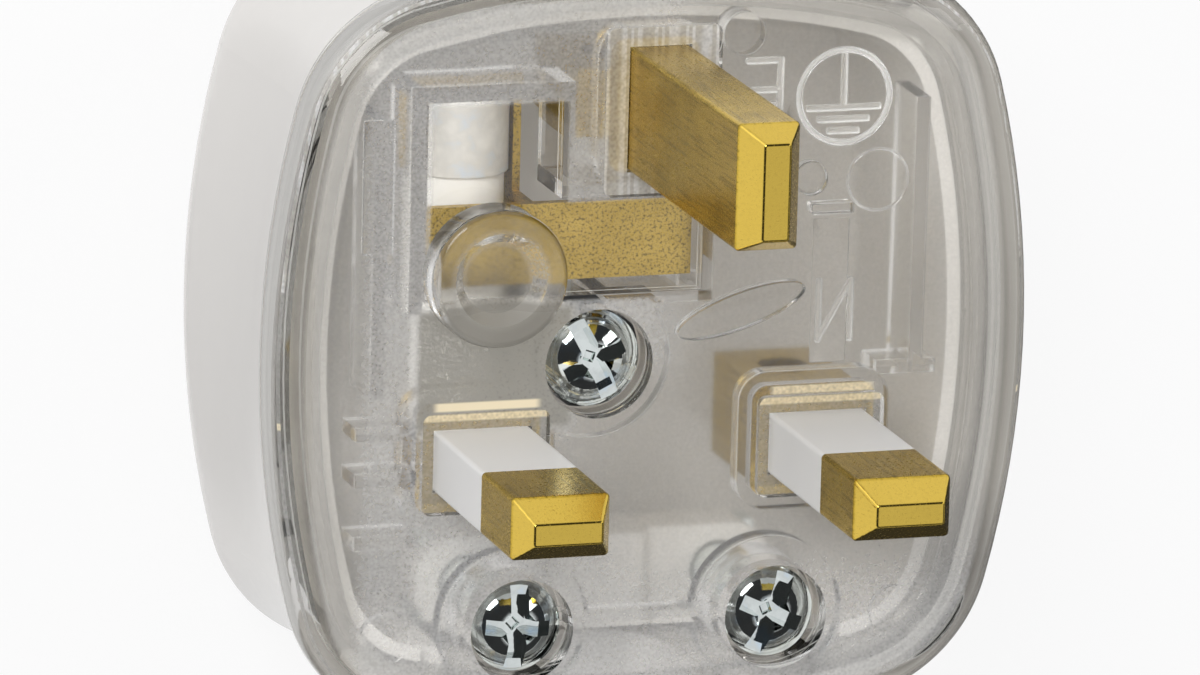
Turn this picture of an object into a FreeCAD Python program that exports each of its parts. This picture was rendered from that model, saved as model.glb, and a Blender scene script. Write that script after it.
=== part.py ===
import FreeCAD, Part
import math
import os
import Sketcher
from FreeCAD import Placement, Rotation, Vector

# UK three pin plug, rewireable, with a clear front base and a white rear cover.
# It lies on its back: +Z is the way the pins point, +Y goes from the line and neutral
# pins to the earth pin, and +X is the neutral side. The origin is the middle of the back.
# The depth of anything inside is measured down from the face that the pins stand on.

os.makedirs("parts", exist_ok=True)
document = FreeCAD.newDocument("ThreePinPlug")

DIMENSIONS = {
    # the case: a square with bulged sides and round corners, in two halves
    "case_width": 50.6,
    "case_height": 51.6,
    "case_depth": 25.5,
    "side_arc": 65.0,
    "corner_arc": 10.5,
    "base_depth": 5.5,
    "rim_flare": 1.05,
    "rim_round": 2.5,
    "parting_inset": 0.95,
    "waist_depth": 12.5,
    "waist_inset": 1.1,
    "back_flare": 0.5,
    "back_round": 4.2,
    "face_wall": 2.5,
    "skirt_wall": 2.75,
    "groove_wall": 1.0,
    "groove_width": 0.8,
    "groove_roof": 2.1,
    "cover_wall": 3.8,
    "cover_floor": 2.6,
    "tongue_rise": 1.0,
    "tongue_gap": 0.15,
    "parting_gap": 0.05,
    # the pins, to the standard plug sizes
    "pin_pitch": 22.23,
    "earth_rise": 22.23,
    "pin_row_drop": 6.5,
    "live_width": 6.35,
    "live_thickness": 4.0,
    "live_length": 17.7,
    "earth_height": 8.0,
    "earth_thickness": 4.0,
    "earth_length": 22.73,
    "tip_length": 1.9,
    "tip_side_cut": 0.95,
    "tip_face_cut": 1.3,
    "earth_tip_cut": 1.15,
    "pin_edge_round": 0.3,
    "sleeve_length": 9.5,
    "sleeve_wall": 0.6,
    "pin_hole_gap": 0.05,
    # collars behind the face, and the pin frames sunk in the face
    "live_collar_width": 8.2,
    "live_collar_height": 7.2,
    "earth_collar_width": 5.8,
    "earth_collar_height": 8.6,
    "collar_play": 0.05,
    "collar_thickness": 1.5,
    "collar_corner": 1.0,
    "frame_depth": 0.8,
    "live_frame_side": 1.0,
    "live_frame_end": 1.3,
    "earth_frame_side": 1.8,
    "earth_frame_end": 1.45,
    "frame_corner": 0.6,
    # terminal blocks
    "terminal_end_depth": 13.0,
    "terminal_hole_depth": 9.0,
    "terminal_hole_diameter": 3.2,
    "neutral_terminal_size": 6.6,
    "earth_terminal_width": 6.7,
    "earth_terminal_height": 4.4,
    "earth_terminal_shift": 1.35,
    "line_terminal_width": 4.8,
    # the fuse
    "fuse_length": 25.4,
    "fuse_diameter": 6.35,
    "fuse_rise": 9.7,
    "fuse_axis_depth": 8.1,
    "fuse_cap_length": 5.0,
    "fuse_cap_wall": 0.25,
    "fuse_bore": 3.4,
    "fuse_wire": 0.5,
    "clip_sheet": 0.5,
    "clip_length": 4.4,
    "clip_gap": 0.02,
    "clip_mouth": 4.6,
    # the strip between the fuse and its terminal
    "strap_rise": 13.5,
    "strap_width": 5.0,
    "strap_sheet": 0.7,
    "strap_depth": 3.2,
    "strap_reach": 2.9,
    "strap_arm_start": 6.8,
    "strap_arm_depth": 11.0,
    "strap_arm_length": 4.4,
    # screws
    "cover_screw_left": 3.8,
    "cover_screw_rise": 6.05,
    "cover_head_diameter": 6.3,
    "clamp_screw_pitch": 16.9,
    "clamp_screw_margin": 8.1,
    "clamp_head_diameter": 6.0,
    "screw_head_height": 2.1,
    "screw_head_round": 1.4,
    "screw_diameter": 3.5,
    "screw_slot_width": 1.2,
    "screw_slot_depth": 0.9,
    "screw_cross_width": 1.0,
    "screw_cross_span": 4.2,
    "screw_cross_depth": 1.6,
    "screw_tip_cut": 0.4,
    "cover_screw_short": 0.5,
    "clamp_screw_past": 1.3,
    "cover_screw_turn": 26.0,
    "clamp_left_turn": -3.5,
    "clamp_right_turn": -23.0,
    "terminal_screw_diameter": 3.0,
    "terminal_head_diameter": 4.2,
    "terminal_head_height": 1.8,
    "terminal_head_round": 0.3,
    "terminal_slot_width": 0.8,
    "terminal_slot_depth": 0.9,
    "well_gap": 0.4,
    "well_depth": 2.6,
    "well_floor": 1.6,
    "screw_hole_gap": 0.15,
    "cover_tube_diameter": 7.3,
    "cover_tube_depth": 12.0,
    "cover_boss_diameter": 10.4,
    "clamp_tube_diameter": 7.0,
    "clamp_tube_depth": 7.0,
    "clamp_boss_diameter": 9.8,
    # cover screw insert and the washer that keeps the screw
    "washer_thickness": 0.8,
    "washer_diameter": 6.6,
    "column_gap": 0.3,
    "column_diameter": 8.2,
    "insert_diameter": 5.6,
    "insert_length": 6.5,
    # cord clamp
    "clamp_bar_width": 23.8,
    "clamp_bar_height": 6.0,
    "clamp_bar_thickness": 3.6,
    "clamp_bar_depth": 13.0,
    "clamp_bar_corner": 2.6,
    "clamp_saddle_width": 7.0,
    "clamp_saddle_rise": 1.2,
    "clamp_saddle_round": 0.9,
    "clamp_nut_size": 5.6,
    "clamp_nut_thickness": 2.2,
    "cord_entry_diameter": 9.0,
    "cord_entry_depth": 10.4,
    "cord_rib_height": 2.0,
    "clamp_relief_width": 24.6,
    "clamp_relief_wall": 3.9,
    "clamp_relief_depth": 17.1,
    "tongue_break_width": 28.0,
    # clear ribs and walls behind the face
    "rib": 0.9,
    "window_thin": 0.8,
    "window_left": 15.05,
    "window_right": 6.2,
    "window_clearance": 0.2,
    "window_step_rise": 16.6,
    "window_foot_rise": 10.3,
    "window_reach": 3.2,
    "window_wall_depth": 7.0,
    "fuse_room": 0.6,
    "side_rib_offset": 17.85,
    "side_rib_rise": 13.0,
    "side_rib_length": 18.0,
    "web_gap": 1.4,
    "line_web_high": 2.2,
    "line_web_middle": -0.8,
    "line_web_low": -4.9,
    "neutral_web_high": 4.9,
    "neutral_web_low": -4.1,
    # round button on the face, over the fuse
    "button_diameter": 8.9,
    "button_height": 2.5,
    "button_rise": 12.4,
    "button_round": 0.55,
    "dimple_diameter": 6.0,
    "dimple_depth": 0.9,
    "dimple_taper": 38.0,
    # low round pads behind the face, left by the mould, and the post at the top
    "pad_diameter": 3.3,
    "pad_height": 0.5,
    "top_post_diameter": 2.8,
    "top_post_height": 1.8,
    "top_post_side": 5.8,
    "top_post_rise": 26.6,
    "low_pad_side": 17.0,
    "low_pad_margin": 7.6,
}


class Size:
    """A length worked out from the sheet: its formula for the document and its value."""

    def __init__(self, formula, value):
        self.formula = formula
        self.value = value

    @staticmethod
    def of(other):
        return other if isinstance(other, Size) else Size(repr(float(other)), float(other))

    def __add__(self, other):
        other = Size.of(other)
        return Size(f"({self.formula} + {other.formula})", self.value + other.value)

    def __sub__(self, other):
        other = Size.of(other)
        return Size(f"({self.formula} - {other.formula})", self.value - other.value)

    def __rsub__(self, other):
        return Size.of(other) - self

    def __mul__(self, factor):
        return Size(f"({self.formula} * {factor!r})", self.value * factor)

    def __truediv__(self, divisor):
        return Size(f"({self.formula} / {divisor!r})", self.value / divisor)

    def __neg__(self):
        return self * -1.0

    __radd__ = __add__
    __rmul__ = __mul__


ZERO = Size.of(0.0)


class Dimensions:
    """The driving dimensions, each an attribute bound to its cell."""


def make_sheet():
    sheet = document.addObject("Spreadsheet::Sheet", "Sizes")
    dimensions = Dimensions()
    for row, (name, value) in enumerate(DIMENSIONS.items(), start=1):
        sheet.set(f"A{row}", name)
        sheet.set(f"B{row}", str(value))
        sheet.setAlias(f"B{row}", name)
        setattr(dimensions, name, Size(f"Sizes.{name}", value))
    document.recompute()
    return dimensions


d = make_sheet()

# Heights and places that several pieces share
FACE = d.case_depth
PARTING = FACE - d.base_depth
COVER_FRONT = PARTING - d.parting_gap
PLATE_BACK = FACE - d.face_wall
PIN_ROW = -d.pin_row_drop
COLLAR_DEPTH = d.face_wall + d.collar_play
LINE_X = -d.pin_pitch / 2.0
NEUTRAL_X = d.pin_pitch / 2.0
EARTH_Y = PIN_ROW + d.earth_rise
COVER_SCREW = (-d.cover_screw_left, PIN_ROW + d.cover_screw_rise)
CASE_LOW = -(d.case_height / 2)
CLAMP_Y = CASE_LOW + d.clamp_screw_margin
CLAMP_X = d.clamp_screw_pitch / 2.0
FUSE_Y = PIN_ROW + d.fuse_rise
FUSE_Z = FACE - d.fuse_axis_depth
STRAP_Y = PIN_ROW + d.strap_rise
TUBE_END = FACE - d.cover_tube_depth
COLUMN_TOP = TUBE_END - d.washer_thickness - d.column_gap
SCREW_SEAT = FACE - d.well_depth
COVER_SCREW_LENGTH = SCREW_SEAT - COLUMN_TOP + d.insert_length - d.cover_screw_short
CLAMP_SCREW_LENGTH = d.clamp_bar_depth + d.clamp_bar_thickness - d.well_depth + d.clamp_screw_past
SKIRT_INSET = d.parting_inset + d.skirt_wall
TONGUE_INSET = SKIRT_INSET + d.tongue_gap
CAVITY_INSET = d.parting_inset + d.cover_wall
BOSS_END = d.well_depth + d.well_floor
WINDOW_LEFT, WINDOW_RIGHT = -d.window_left, -d.window_right
WINDOW_FOOT = PIN_ROW + d.window_foot_rise
WINDOW_STEP = PIN_ROW + d.window_step_rise
WINDOW_HIGH = FUSE_Y + d.fuse_length / 2.0 + d.clip_sheet + d.window_clearance
SIDE_RIB_Y = PIN_ROW + d.side_rib_rise


def bind(item, place, size):
    item.setExpression(place, size.formula)


def new_body(name, at=(ZERO, ZERO, ZERO), rotation=None):
    """A sub-part, named after the real piece, with its place bound to the sheet."""
    body = document.addObject("PartDesign::Body", name)
    body.Label = name
    if rotation is not None:
        body.Placement = Placement(Vector(), rotation)
    for axis, size in zip("xyz", at):
        bind(body, f".Placement.Base.{axis}", Size.of(size))
    return body


def origin_plane(body, role):
    for feature in body.Origin.OriginFeatures:
        if feature.Role == role:
            return feature
    raise ValueError(role)


def new_sketch(body, name, at=(0, 0, 0), plane="XY_Plane"):
    """A sketch on one of the body's own planes, its middle moved to a place in that plane."""
    sketch = body.newObject("Sketcher::SketchObject", name)
    sketch.AttachmentSupport = [(origin_plane(body, plane), "")]
    sketch.MapMode = "FlatFace"
    for axis, size in zip("xyz", at):
        bind(sketch, f".AttachmentOffset.Base.{axis}", Size.of(size))
    return sketch


def dimension(sketch, kind, where, size):
    index = sketch.addConstraint(Sketcher.Constraint(kind, *where, size.value))
    sketch.setExpression(f"Constraints[{index}]", size.formula)


def line(start, end):
    return Part.LineSegment(Vector(*start, 0), Vector(*end, 0))


def arc(centre, radius, start, end):
    return Part.ArcOfCircle(Part.Circle(Vector(*centre, 0), Vector(0, 0, 1), radius), start, end)


def relate(sketch, *rules):
    sketch.addConstraint([Sketcher.Constraint(*rule) for rule in rules])


def hold(sketch, index, point, x, y):
    """Holds a point at its place, measured from the sketch's middle."""
    for kind, size, axis in (("DistanceX", x, -2), ("DistanceY", y, -1)):
        if abs(size.value) < 1e-9:
            relate(sketch, ("PointOnObject", index, point, axis))
        elif size.value > 0:
            dimension(sketch, kind, (-1, 1, index, point), size)
        else:
            dimension(sketch, kind, (index, point, -1, 1), -size)


def draw_circle(sketch, diameter, x=ZERO, y=ZERO):
    first = sketch.GeometryCount
    centre = Vector(x.value, y.value, 0)
    sketch.addGeometry(Part.Circle(centre, Vector(0, 0, 1), diameter.value / 2), False)
    if x is ZERO and y is ZERO:
        relate(sketch, ("Coincident", first, 3, -1, 1))
    else:
        hold(sketch, first, 3, x, y)
    dimension(sketch, "Diameter", (first,), diameter)


def draw_box(sketch, left, right, bottom, top):
    """An upright rectangle between two sides and two ends."""
    first = sketch.GeometryCount
    corners = [(left, bottom), (right, bottom), (right, top), (left, top)]
    places = [(x.value, y.value) for x, y in corners]
    sketch.addGeometry([line(places[i], places[(i + 1) % 4]) for i in range(4)], False)
    relate(sketch, *[("Coincident", first + i, 2, first + (i + 1) % 4, 1) for i in range(4)])
    relate(sketch, ("Horizontal", first), ("Vertical", first + 1), ("Horizontal", first + 2),
           ("Vertical", first + 3))
    hold(sketch, first, 1, left, bottom)
    hold(sketch, first + 2, 1, right, top)


def draw_rectangle(sketch, width, height, x=ZERO, y=ZERO):
    draw_box(sketch, x - width / 2, x + width / 2, y - height / 2, y + height / 2)


def draw_rounded(sketch, width, height, radius, x=ZERO, y=ZERO):
    """A rectangle with round corners, about a place in the sketch."""
    first = sketch.GeometryCount
    left, right = x - width / 2, x + width / 2
    bottom, top = y - height / 2, y + height / 2
    corners = [(right - radius, bottom + radius), (right - radius, top - radius),
               (left + radius, top - radius), (left + radius, bottom + radius)]
    centres = [(u.value, v.value) for u, v in corners]
    r, quarter = radius.value, math.pi / 2
    for i, (u, v) in enumerate(centres):
        back, ahead = (i - 1) * quarter, i * quarter
        before = centres[i - 1]
        off = (r * round(math.cos(back)), r * round(math.sin(back)))
        sketch.addGeometry(line((before[0] + off[0], before[1] + off[1]),
                                (u + off[0], v + off[1])), False)
        sketch.addGeometry(arc((u, v), r, back, ahead), False)
    relate(sketch, *[("Tangent", first + i, 2, first + (i + 1) % 8, 1) for i in range(8)])
    relate(sketch, ("Horizontal", first), ("Vertical", first + 2), ("Horizontal", first + 4),
           ("Vertical", first + 6))
    relate(sketch, *[("Equal", first + 1, first + other) for other in (3, 5)])
    dimension(sketch, "Radius", (first + 1,), radius)
    hold(sketch, first + 1, 3, *corners[0])
    hold(sketch, first + 5, 3, *corners[2])


def draw_polygon(sketch, points):
    """A closed outline of straight lines through the points."""
    first = sketch.GeometryCount
    places = [(x.value, y.value) for x, y in points]
    count = len(points)
    sketch.addGeometry([line(places[i], places[(i + 1) % count]) for i in range(count)], False)
    relate(sketch, *[("Coincident", first + i, 2, first + (i + 1) % count, 1)
                     for i in range(count)])
    for i, (x, y) in enumerate(points):
        hold(sketch, first + i, 1, x, y)


def draw_case_outline(sketch, inset):
    """The plug's outline, moved inwards by the inset: four flat arcs joined by corner arcs."""
    first = sketch.GeometryCount
    half_width = d.case_width / 2 - inset
    half_height = d.case_height / 2 - inset
    side = d.side_arc - inset
    corner = d.corner_arc - inset
    right = (half_width.value - side.value, 0.0)
    top = (0.0, half_height.value - side.value)
    reach = side.value - corner.value
    between = math.hypot(right[0], top[1])
    lift = math.sqrt(reach ** 2 - between ** 2 / 4) / between
    centre = (right[0] / 2 - top[1] * lift, top[1] / 2 - right[0] * lift)
    low = math.atan2(centre[1], centre[0] - right[0])
    high = math.atan2(centre[1] - top[1], centre[0])
    turn = math.pi
    x, y = centre
    big, small = side.value, corner.value
    sketch.addGeometry([
        arc(right, big, -low, low),
        arc((x, y), small, low, high),
        arc(top, big, high, turn - high),
        arc((-x, y), small, turn - high, turn - low),
        arc((-right[0], 0.0), big, turn - low, turn + low),
        arc((-x, -y), small, turn + low, turn + high),
        arc((0.0, -top[1]), big, turn + high, 2 * turn - high),
        arc((x, -y), small, 2 * turn - high, 2 * turn - low),
    ], False)
    relate(sketch, *[("Tangent", first + i, 2, first + (i + 1) % 8, 1) for i in range(8)])
    relate(sketch, ("PointOnObject", first, 3, -1), ("PointOnObject", first + 4, 3, -1),
           ("PointOnObject", first + 2, 3, -2), ("PointOnObject", first + 6, 3, -2))
    relate(sketch, *[("Equal", first, first + other) for other in (2, 4, 6)])
    relate(sketch, *[("Equal", first + 1, first + other) for other in (3, 5, 7)])
    dimension(sketch, "Radius", (first,), side)
    dimension(sketch, "Radius", (first + 1,), corner)
    dimension(sketch, "DistanceX", (first, 3, -1, 1), side - half_width)
    dimension(sketch, "DistanceX", (-1, 1, first + 4, 3), side - half_width)
    dimension(sketch, "DistanceY", (first + 2, 3, -1, 1), side - half_height)
    dimension(sketch, "DistanceY", (-1, 1, first + 6, 3), side - half_height)


def volume(body):
    return body.Shape.Volume if not body.Shape.isNull() else 0.0


def extrude(kind, body, name, sketch, length, reverse):
    before = volume(body)
    feature = body.newObject(kind, name)
    feature.Profile = sketch
    feature.Reversed = reverse
    bind(feature, "Length", Size.of(length))
    document.recompute()
    change = volume(body) - before
    if change * (1 if kind.endswith("Pad") else -1) < 1e-3:
        raise ValueError(f"{name} runs the wrong way: {before:.3f} changed by {change:.3f}")
    return feature


def pad(body, name, sketch, length, reverse=False):
    return extrude("PartDesign::Pad", body, name, sketch, length, reverse)


def pocket(body, name, sketch, length, reverse=False):
    return extrude("PartDesign::Pocket", body, name, sketch, length, reverse)


def loft(body, name, sketches, ruled):
    feature = body.newObject("PartDesign::AdditiveLoft", name)
    feature.Profile = sketches[0]
    feature.Sections = sketches[1:]
    feature.Ruled = ruled
    document.recompute()
    return feature


def turn_profile(body, name, sketch):
    feature = body.newObject("PartDesign::Revolution", name)
    feature.Profile = sketch
    feature.ReferenceAxis = (sketch, ["V_Axis"])
    feature.Angle = 360.0
    document.recompute()
    return feature


def round_edges(body, name, wanted, radius):
    """Rounds the edges of the body so far that a test picks out."""
    tip = body.Tip
    names = [f"Edge{i}" for i, edge in enumerate(tip.Shape.Edges, start=1) if wanted(edge)]
    feature = body.newObject("PartDesign::Fillet", name)
    feature.Base = (tip, names)
    bind(feature, "Radius", radius)
    document.recompute()
    return feature


def lies_at(edge, height):
    """Whether an edge lies level at a height of its body's own frame."""
    box = edge.BoundBox
    return abs(box.ZMin - height.value) < 1e-4 and abs(box.ZMax - height.value) < 1e-4


def box_pad(body, name, width, height, length, at, reverse=True):
    sketch = new_sketch(body, f"{name}_sketch", at)
    draw_rectangle(sketch, Size.of(width), Size.of(height))
    return pad(body, name, sketch, length, reverse)


def box_pocket(body, name, width, height, length, at, reverse=False, plane="XY_Plane"):
    sketch = new_sketch(body, f"{name}_sketch", at, plane)
    draw_rectangle(sketch, Size.of(width), Size.of(height))
    return pocket(body, name, sketch, length, reverse)


def round_pad(body, name, diameter, length, at, reverse=True):
    sketch = new_sketch(body, f"{name}_sketch", at)
    draw_circle(sketch, diameter)
    return pad(body, name, sketch, length, reverse)


def round_pocket(body, name, diameter, length, at, reverse=False, plane="XY_Plane"):
    sketch = new_sketch(body, f"{name}_sketch", at, plane)
    draw_circle(sketch, diameter)
    return pocket(body, name, sketch, length, reverse)


# The clear front base
SCREWS = [("cover", *COVER_SCREW, d.cover_head_diameter),
          ("clamp_left", -CLAMP_X, CLAMP_Y, d.clamp_head_diameter),
          ("clamp_right", CLAMP_X, CLAMP_Y, d.clamp_head_diameter)]
COLLARS = [(LINE_X, PIN_ROW, d.live_collar_width, d.live_collar_height),
           (NEUTRAL_X, PIN_ROW, d.live_collar_width, d.live_collar_height),
           (ZERO, EARTH_Y, d.earth_collar_width, d.earth_collar_height)]
PINS = [(LINE_X, PIN_ROW, d.live_width, d.live_thickness, d.live_frame_side, d.live_frame_end),
        (NEUTRAL_X, PIN_ROW, d.live_width, d.live_thickness, d.live_frame_side, d.live_frame_end),
        (ZERO, EARTH_Y, d.earth_thickness, d.earth_height, d.earth_frame_side, d.earth_frame_end)]


def make_front_base():
    """The clear half: rim, skirt with a groove that keeps its wall even, and all behind the face."""
    body = new_body("front_base")
    front = new_sketch(body, "rim_front", (0, 0, FACE))
    draw_case_outline(front, -d.rim_flare)
    back = new_sketch(body, "rim_back", (0, 0, PARTING))
    draw_case_outline(back, d.parting_inset)
    loft(body, "rim", [front, back], True)
    round_edges(body, "rim_rounding", lambda edge: lies_at(edge, FACE), d.rim_round)
    hollow = new_sketch(body, "hollow_outline", (0, 0, PARTING))
    draw_case_outline(hollow, SKIRT_INSET)
    pocket(body, "hollow", hollow, d.base_depth - d.face_wall, True)
    groove = new_sketch(body, "groove_outlines", (0, 0, PARTING))
    draw_case_outline(groove, d.parting_inset + d.groove_wall)
    draw_case_outline(groove, d.parting_inset + d.groove_wall + d.groove_width)
    pocket(body, "groove", groove, d.base_depth - d.groove_roof, True)
    make_pin_frames(body)
    make_button(body)
    make_screw_bosses(body)
    make_collar_seats(body)
    make_window(body)
    make_webs(body)
    return body


def make_pin_frames(body):
    """The shallow frames round the pins and the holes that the pins come through."""
    frames = new_sketch(body, "pin_frame_outlines", (0, 0, FACE))
    holes = new_sketch(body, "pin_hole_outlines", (0, 0, FACE))
    slack = d.pin_hole_gap * 2
    for x, y, width, height, side, end in PINS:
        draw_rounded(frames, width + side * 2, height + end * 2, d.frame_corner, x, y)
        draw_rectangle(holes, width + slack, height + slack, x, y)
    pocket(body, "pin_frames", frames, d.frame_depth)
    pocket(body, "pin_holes", holes, d.face_wall)


def make_button(body):
    """The round clear button that stands on the face, with its dimple."""
    y = PIN_ROW + d.button_rise
    top = FACE + d.button_height
    round_pad(body, "button", d.button_diameter, d.button_height, (LINE_X, y, FACE), False)
    round_edges(body, "button_rounding", lambda edge: lies_at(edge, top), d.button_round)
    feature = round_pocket(body, "button_dimple", d.dimple_diameter, d.dimple_depth, (LINE_X, y, top))
    bind(feature, "TaperAngle", -d.dimple_taper)
    document.recompute()


def make_collar_seats(body):
    """The low walls behind the face that hold the pin collars."""
    walls = new_sketch(body, "seat_outlines", (0, 0, PLATE_BACK))
    seats = new_sketch(body, "seat_hollows", (0, 0, FACE - BOSS_END))
    for x, y, width, height in COLLARS:
        draw_rounded(walls, width + d.rib * 2, height + d.rib * 2, d.collar_corner + d.rib, x, y)
        draw_rounded(seats, width + d.collar_play * 2, height + d.collar_play * 2,
                     d.collar_corner + d.collar_play, x, y)
    pad(body, "seat_walls", walls, d.collar_thickness, True)
    pocket(body, "seats", seats, BOSS_END - d.face_wall, True)


def make_screw_bosses(body):
    """Bosses and tubes behind the face, the wells for the heads and the holes for the shanks."""
    bosses = new_sketch(body, "boss_circles", (0, 0, PLATE_BACK))
    tubes = new_sketch(body, "clamp_tube_circles", (0, 0, PLATE_BACK))
    wells = new_sketch(body, "well_circles", (0, 0, FACE))
    holes = new_sketch(body, "screw_hole_circles", (0, 0, FACE))
    for name, x, y, head in SCREWS:
        boss = d.cover_boss_diameter if name == "cover" else d.clamp_boss_diameter
        draw_circle(bosses, boss, x, y)
        draw_circle(wells, head + d.well_gap * 2, x, y)
        draw_circle(holes, d.screw_diameter + d.screw_hole_gap * 2, x, y)
        if name != "cover":
            draw_circle(tubes, d.clamp_tube_diameter, x, y)
    pad(body, "bosses", bosses, BOSS_END - d.face_wall, True)
    pad(body, "clamp_tubes", tubes, d.clamp_tube_depth - d.face_wall, True)
    round_pad(body, "cover_tube", d.cover_tube_diameter, d.cover_tube_depth - d.face_wall,
              (*COVER_SCREW, PLATE_BACK))
    pocket(body, "wells", wells, d.well_depth)
    pocket(body, "screw_holes", holes, d.cover_tube_depth)


def make_window(body):
    """The thin polished window over the fuse and its strip, with the wall round it."""
    outline = [(WINDOW_LEFT, WINDOW_FOOT), (d.window_reach, WINDOW_FOOT),
               (d.window_reach, WINDOW_STEP), (WINDOW_RIGHT, WINDOW_STEP),
               (WINDOW_RIGHT, WINDOW_HIGH), (WINDOW_LEFT, WINDOW_HIGH)]
    window = new_sketch(body, "window_outline", (0, 0, FACE - BOSS_END))
    draw_polygon(window, outline)
    pocket(body, "window", window, BOSS_END - d.face_wall + d.window_thin, True)
    left, right = WINDOW_LEFT - d.rib, WINDOW_RIGHT + d.rib
    low, high = WINDOW_FOOT - d.rib, WINDOW_HIGH + d.rib
    end, step = d.window_reach + d.rib, WINDOW_STEP + d.rib
    fuse_side = LINE_X + d.fuse_diameter / 2 + d.fuse_room
    walls = new_sketch(body, "deep_wall_outlines", (0, 0, PLATE_BACK))
    draw_polygon(walls, [(fuse_side, WINDOW_FOOT), *outline[1:], (WINDOW_LEFT, WINDOW_FOOT),
                         (WINDOW_LEFT, low), (left, low), (left, high), (right, high),
                         (right, step), (end, step), (end, low), (fuse_side, low)])
    for side in (-1.0, 1.0):
        draw_rectangle(walls, d.rib, d.side_rib_length, d.side_rib_offset * side, SIDE_RIB_Y)
    pad(body, "deep_walls", walls, d.window_wall_depth - d.face_wall, True)


def make_webs(body):
    """Level webs from the collar seats to the sides, the cord rib, the post and the round pads."""
    webs = new_sketch(body, "web_outlines", (0, 0, PLATE_BACK))
    outer = d.case_width / 2 - CAVITY_INSET - d.web_gap
    inner = d.pin_pitch / 2 + d.live_collar_width / 2
    for rise in (d.line_web_high, d.line_web_middle, d.line_web_low):
        draw_box(webs, -outer, -inner, PIN_ROW + rise - d.rib, PIN_ROW + rise)
    for rise in (d.neutral_web_high, d.neutral_web_low):
        draw_box(webs, inner, outer, PIN_ROW + rise - d.rib, PIN_ROW + rise)
    pad(body, "webs", webs, d.base_depth - d.face_wall, True)
    box_pad(body, "cord_rib", d.clamp_screw_pitch - d.clamp_tube_diameter + d.rib, d.rib,
            d.cord_rib_height, (0, CLAMP_Y, PLATE_BACK))
    round_pad(body, "top_post", d.top_post_diameter, d.top_post_height,
              (d.top_post_side, PIN_ROW + d.top_post_rise, PLATE_BACK))
    pads = new_sketch(body, "round_pad_circles", (0, 0, PLATE_BACK))
    for side in (-1.0, 1.0):
        draw_circle(pads, d.pad_diameter, d.low_pad_side * side, CASE_LOW + d.low_pad_margin)
    pad(body, "round_pads", pads, d.pad_height, True)


# The white rear cover
def make_rear_cover():
    body = new_body("rear_cover")
    sections = []
    for name, depth, inset in (("cover_front", d.base_depth + d.parting_gap, d.parting_inset),
                               ("cover_waist", d.waist_depth, d.waist_inset),
                               ("cover_back", d.case_depth, -d.back_flare)):
        sketch = new_sketch(body, name, (0, 0, FACE - depth))
        draw_case_outline(sketch, inset)
        sections.append(sketch)
    loft(body, "cover_shell", sections, False)
    round_edges(body, "back_rounding", lambda edge: lies_at(edge, ZERO), d.back_round)
    tongue = new_sketch(body, "tongue_outline", (0, 0, COVER_FRONT))
    draw_case_outline(tongue, TONGUE_INSET)
    pad(body, "tongue", tongue, d.tongue_rise)
    hollow = new_sketch(body, "cavity_outline", (0, 0, COVER_FRONT + d.tongue_rise))
    draw_case_outline(hollow, CAVITY_INSET)
    pocket(body, "cavity", hollow, COVER_FRONT + d.tongue_rise - d.cover_floor)
    make_cover_column(body)
    make_clamp_relief(body)
    make_cord_entry(body)
    return body


def make_cover_column(body):
    """The column in the cover that takes the threaded insert for the cover screw."""
    x, y = COVER_SCREW
    round_pad(body, "column", d.column_diameter, COLUMN_TOP - d.cover_floor,
              (x, y, d.cover_floor), False)
    round_pocket(body, "insert_bore", d.insert_diameter, d.insert_length, (x, y, COLUMN_TOP))


def make_clamp_relief(body):
    """The cover's lower wall is cut back behind the clamp screws, and its tongue stops there."""
    front = COVER_FRONT + d.tongue_rise
    low = CASE_LOW + d.clamp_relief_wall
    sketch = new_sketch(body, "clamp_relief_outline", (0, 0, front))
    draw_box(sketch, -(d.clamp_relief_width / 2), d.clamp_relief_width / 2, low, CLAMP_Y)
    pocket(body, "clamp_relief", sketch, front - FACE + d.clamp_relief_depth)
    gap = new_sketch(body, "tongue_break_outline", (0, 0, front))
    draw_box(gap, -(d.tongue_break_width / 2), d.tongue_break_width / 2, CASE_LOW, CLAMP_Y)
    pocket(body, "tongue_break", gap, d.tongue_rise)


def make_cord_entry(body):
    """The notch in the bottom edge, open to the parting line, where the cord goes in."""
    bottom = d.case_height / 2
    centre = FACE - d.cord_entry_depth
    depth = CAVITY_INSET + d.rib
    round_pocket(body, "cord_notch", d.cord_entry_diameter, depth, (0, centre, bottom), False, "XZ_Plane")
    rise = COVER_FRONT + d.tongue_rise - centre
    box_pocket(body, "cord_notch_mouth", d.cord_entry_diameter, rise, depth,
               (0, centre + rise / 2, bottom), False, "XZ_Plane")


# The brass pins
def tip_sketches(body, name, width, height, length):
    start = new_sketch(body, f"{name}_tip_start", (0, 0, length - d.tip_length))
    draw_rectangle(start, width, height)
    end = new_sketch(body, f"{name}_tip_end", (0, 0, length))
    return start, end


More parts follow.
